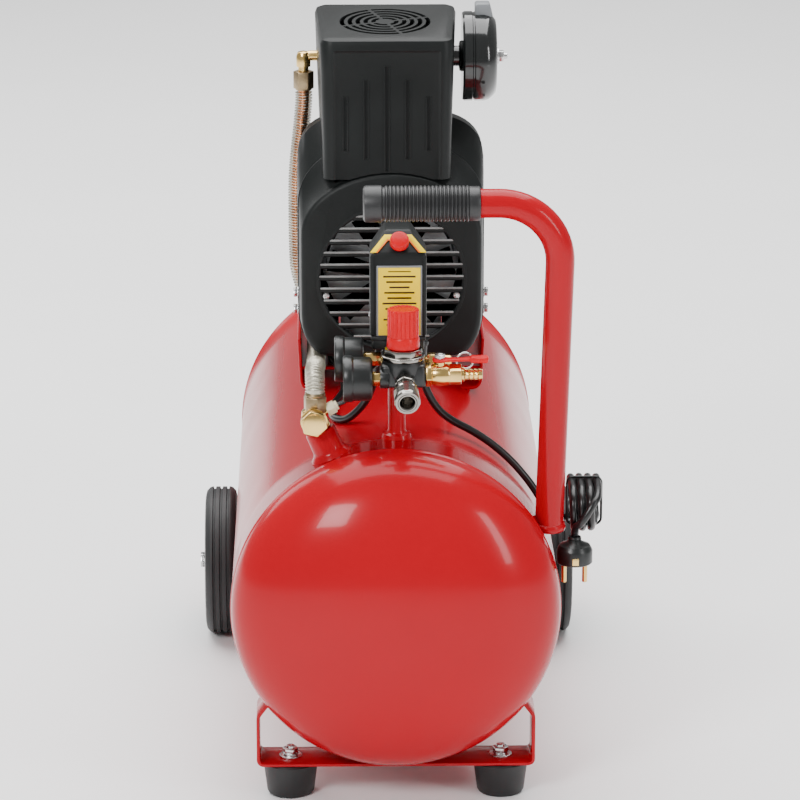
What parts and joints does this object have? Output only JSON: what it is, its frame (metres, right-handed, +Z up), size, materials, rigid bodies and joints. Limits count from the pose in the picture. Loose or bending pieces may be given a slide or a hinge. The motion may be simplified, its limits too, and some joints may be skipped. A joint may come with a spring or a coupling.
{
  "type": "air compressor",
  "caption": "Direct-drive piston air compressor on a horizontal wheeled tank, with a bent carry handle, pressure switch, regulator, gauges, outlets and a tied mains cord.",
  "frame": {"origin": "on the floor under the middle of the tank", "axes": "+Z up; +Y along the tank, from the controls and handle towards the wheels; +X towards the side the handle's leg and cord are on"},
  "size_m": [0.384, 0.7512, 0.6865],
  "materials": {
    "red_paint": "glossy enamel",
    "cover_plastic": "satin",
    "black_plastic": "satin",
    "black_rubber": "matte",
    "tyre": "matte",
    "zinc_steel": "zinc plated",
    "plated_steel": "bright plated",
    "brass": "turned",
    "finned_pipe": "finned, dull",
    "cast_aluminium": "cast",
    "motor_iron": "laminated, varnished",
    "red_plastic": "gloss"
  },
  "bodies": {
    "chassis": {"air_filter": "cover_plastic", "axle_bolt_left": "zinc_steel", "axle_bolt_right": "zinc_steel", "ball_valve": "brass", "check_valve": "brass", "cord_hank": "black_rubber", "coupler_body": "plated_steel", "crankcase": "cast_aluminium", "cylinder": "cast_aluminium", "cylinder_head": "cast_aluminium", "discharge_elbow": "brass", "discharge_pipe": "finned_pipe", "drain_valve": "brass", "filter_bolt": "zinc_steel", "foot_bolt_left": "zinc_steel", "foot_bolt_right": "zinc_steel", "foot_left": "black_rubber", "foot_right": "black_rubber", "foot_strap": "red_paint", "front_cover": "cover_plastic", "gauge_front": "cover_plastic", "gauge_rear": "cover_plastic", "handle_grip": "black_rubber", "handle_tube": "red_paint", "head_duct": "cover_plastic", "manifold": "black_plastic", "motor_cable": "black_rubber", "motor_cover": "cover_plastic", "motor_housing": "cast_aluminium", "plug": "black_plastic", "power_cord": "black_rubber", "pump_saddle": "red_paint", "rear_shroud": "cover_plastic", "safety_valve": "brass", "stator": "motor_iron", "switch_base": "black_plastic", "switch_cover": "cover_plastic", "switch_post": "red_paint", "tank_barrel": "red_paint", "tank_front_head": "red_paint", "tank_rear_head": "red_paint", "valve_socket": "red_paint", "wheel_strap": "red_paint"},
    "wheel_left": {"tyre_left": "tyre", "wheel_hub_left": "black_plastic"},
    "wheel_right": {"tyre_right": "tyre", "wheel_hub_right": "black_plastic"},
    "crank": {"crank_front": "zinc_steel", "crankshaft": "zinc_steel", "rotor": "motor_iron", "front_fan": "black_plastic", "rear_fan": "black_plastic"},
    "piston": {"piston": "cast_aluminium"},
    "rod": {"connecting_rod": "cast_aluminium"},
    "drain_wing": {"drain_wing": "brass"},
    "regulator_knob": {"regulator_knob": "red_plastic"},
    "switch_knob": {"switch_knob": "red_plastic"},
    "safety_ring": {"safety_ring": "zinc_steel"},
    "valve_lever": {"valve_lever": "red_plastic"},
    "coupler_sleeve": {"coupler_sleeve": "plated_steel"}
  },
  "joints": [
    {"name": "wheel_left_spin", "type": "hinge", "parent": "chassis", "child": "wheel_left", "pos_m": [-0.17, 0.1675, 0.075], "axis": [1, 0, 0], "continuous": true},
    {"name": "wheel_right_spin", "type": "hinge", "parent": "chassis", "child": "wheel_right", "pos_m": [0.17, 0.1675, 0.075], "axis": [1, 0, 0], "continuous": true},
    {"name": "crank_spin", "type": "hinge", "parent": "chassis", "child": "crank", "pos_m": [0, 0, 0.434], "axis": [0, 1, 0], "continuous": true},
    {"name": "piston_slide", "type": "slide", "parent": "chassis", "child": "piston", "axis": [0, 0, 1], "range_m": [0, 0.04]},
    {"name": "rod_swing", "type": "hinge", "parent": "piston", "child": "rod", "pos_m": [0, -0.0055, 0.524], "axis": [0, 1, 0], "range_deg": [-10.5, 10.5]},
    {"name": "drain_wing_turn", "type": "hinge", "parent": "chassis", "child": "drain_wing", "pos_m": [0, 0, 0.012], "axis": [0, 0, 1], "range_deg": [0, 360]},
    {"name": "regulator_turn", "type": "hinge", "parent": "chassis", "child": "regulator_knob", "pos_m": [0.007, -0.2815, 0.443], "axis": [0, 0, 1], "range_deg": [-540, 540]},
    {"name": "switch_pull", "type": "slide", "parent": "chassis", "child": "switch_knob", "axis": [0, -0.7071, 0.7071], "range_m": [0, 0.006]},
    {"name": "safety_pull", "type": "slide", "parent": "chassis", "child": "safety_ring", "axis": [1, 0, 0], "range_m": [0, 0.003], "stiffness_N_per_m": 500},
    {"name": "lever_turn", "type": "hinge", "parent": "chassis", "child": "valve_lever", "pos_m": [0.0398, -0.2845, 0.41], "axis": [0, 0, 1], "range_deg": [-90, 0]},
    {"name": "sleeve_slide", "type": "slide", "parent": "chassis", "child": "coupler_sleeve", "axis": [-0.04, 0.9809, 0.1902], "range_m": [0, 0.004], "stiffness_N_per_m": 800}
  ]
}
